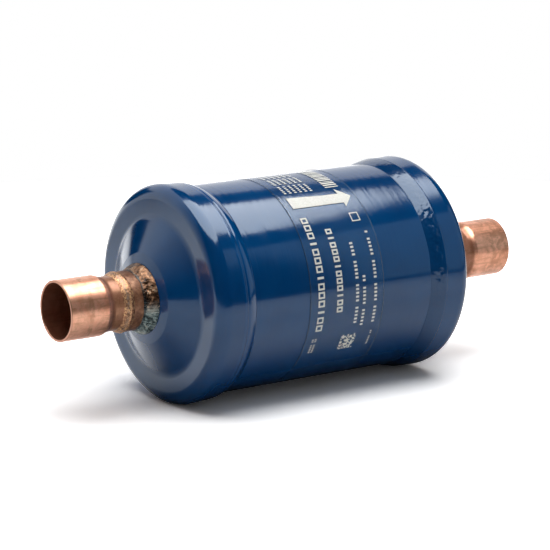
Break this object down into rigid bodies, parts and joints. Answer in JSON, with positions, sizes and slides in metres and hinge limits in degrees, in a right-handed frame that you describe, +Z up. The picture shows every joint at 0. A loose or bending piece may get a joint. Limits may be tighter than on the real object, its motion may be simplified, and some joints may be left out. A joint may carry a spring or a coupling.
{
  "type": "filter drier",
  "caption": "Sealed cylindrical liquid-line filter drier with domed end caps, seam welds and copper solder sockets.",
  "frame": {"origin": "middle of the part's box, on the shell's axis", "axes": "+X along the flow from the inlet socket to the outlet socket, +Z up as the part lies in the picture, -Y towards the printed side"},
  "size_m": [0.1878, 0.0758, 0.0758],
  "materials": {
    "shell_paint": "gloss paint",
    "cap_paint": "gloss paint",
    "weld_paint": "gloss paint over the bead",
    "stub_copper": "copper, stained by brazing",
    "socket_copper": "polished copper",
    "braze": "rough braze with flux stains",
    "spring_steel": "oiled wire",
    "plate_steel": "plated sheet",
    "felt": "matt",
    "desiccant": "matt beads",
    "filter_fibre": "matt",
    "screen_wire": "woven wire",
    "label_film": "clear film over blue paint, with white print"
  },
  "bodies": {
    "root": {"shell_tube": "shell_paint", "inlet_end_cap": "cap_paint", "inlet_seam_weld": "weld_paint", "inlet_stub": "stub_copper", "inlet_stub_braze": "braze", "inlet_socket": "socket_copper", "inlet_socket_braze": "braze", "outlet_end_cap": "cap_paint", "outlet_seam_weld": "weld_paint", "outlet_stub": "stub_copper", "outlet_stub_braze": "braze", "outlet_socket": "socket_copper", "outlet_socket_braze": "braze", "pressure_spring": "spring_steel", "inlet_load_plate": "plate_steel", "inlet_felt_pad": "felt", "desiccant_bed": "desiccant", "outlet_filter_pad": "filter_fibre", "outlet_wire_screen": "screen_wire", "outlet_support_plate": "plate_steel", "label_film": "label_film"}
  },
  "joints": []
}
